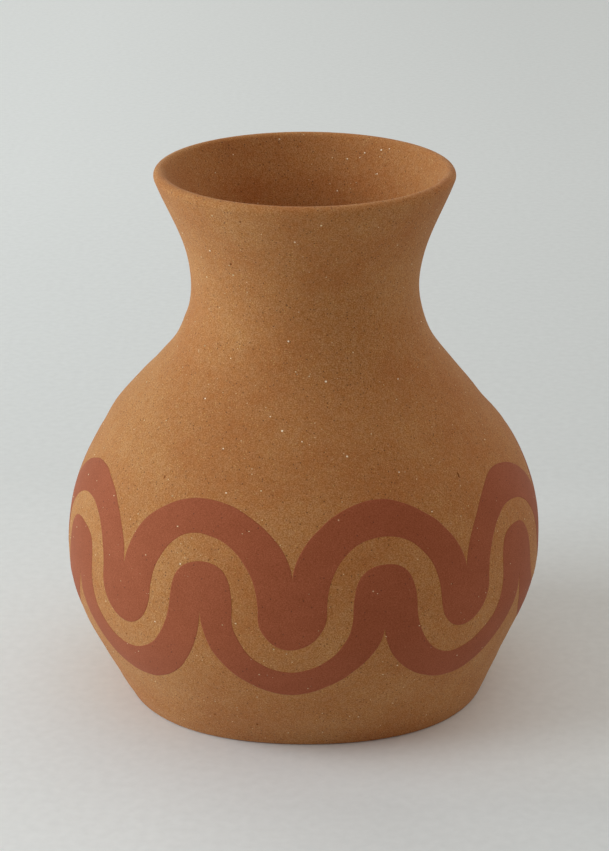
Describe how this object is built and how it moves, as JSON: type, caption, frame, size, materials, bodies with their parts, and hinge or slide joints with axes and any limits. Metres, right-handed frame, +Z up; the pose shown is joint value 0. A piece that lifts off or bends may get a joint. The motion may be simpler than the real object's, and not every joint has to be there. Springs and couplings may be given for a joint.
{
  "type": "vase",
  "caption": "Round-bellied clay vase with a flat foot, narrow neck and flared mouth, painted round the belly with wavy bands of red slip; stands freely and holds liquid, grain or stems.",
  "frame": {"origin": "middle of the flat foot, on the surface that the vase stands on", "axes": "+Z up along the vase's axis, out of the mouth; -Y towards the pictured front; +X to the right of it"},
  "size_m": [0.1898, 0.1898, 0.21],
  "materials": {
    "clay": "matte",
    "red_slip": "matte"
  },
  "bodies": {
    "root": {"clay_body": "clay", "slip_band_upper": "red_slip", "slip_band_lower": "red_slip"}
  },
  "joints": []
}
